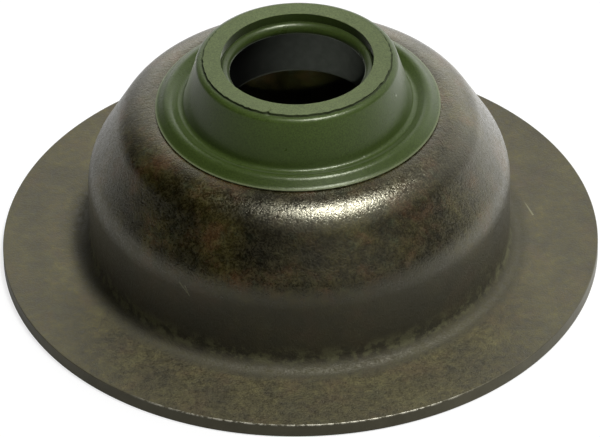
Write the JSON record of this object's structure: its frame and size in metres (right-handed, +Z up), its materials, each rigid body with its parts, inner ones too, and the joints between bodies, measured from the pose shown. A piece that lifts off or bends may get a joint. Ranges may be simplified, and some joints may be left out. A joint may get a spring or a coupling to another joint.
{
  "type": "valve stem seal",
  "caption": "Engine valve stem seal: a drawn steel case whose round flange is the valve spring's seat, with a rubber lip seal bonded on top.",
  "frame": {"origin": "centre of the flange's underside, on the seal's axis", "axes": "+Z up the valve stem, from the flange to the sealing lip; the part is round, so X and Y are free"},
  "size_m": [0.04, 0.04, 0.0159],
  "materials": {
    "phosphated_steel": "dark phosphate, mottled brown and black, fine grain",
    "green_rubber": "moulded green rubber, semi-gloss, matte where it was trimmed"
  },
  "bodies": {
    "root": {"steel_case": "phosphated_steel", "rubber_seal": "green_rubber"}
  },
  "joints": []
}
